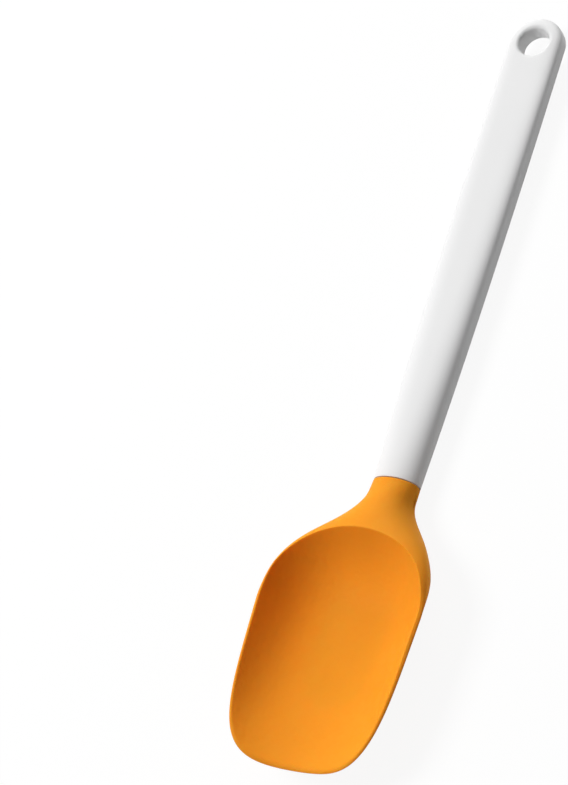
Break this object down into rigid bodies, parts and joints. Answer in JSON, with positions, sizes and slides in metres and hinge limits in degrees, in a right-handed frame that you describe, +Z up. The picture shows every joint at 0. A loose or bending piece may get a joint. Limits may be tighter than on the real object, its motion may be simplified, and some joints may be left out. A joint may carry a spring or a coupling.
{
  "type": "dough spoon",
  "caption": "Dough spoon with a soft deep bowl on a flared neck, a straight handle that flattens to a round hanging eye, and a stiff core hidden inside.",
  "frame": {"origin": "under the middle of the spoon's box, on the surface that its belly lies on", "axes": "+X across the spoon, +Y along the handle from the bowl to the hanging eye, +Z up out of the bowl"},
  "size_m": [0.0564, 0.2688, 0.0219],
  "materials": {
    "white_plastic": "white moulded plastic, satin, with a very fine grain",
    "pale_nylon": "natural glass-filled nylon, hidden inside",
    "orange_silicone": "warm orange silicone, matt, with a fine eroded texture"
  },
  "bodies": {
    "root": {"handle": "white_plastic", "head_core": "pale_nylon", "spoon_head": "orange_silicone"}
  },
  "joints": []
}
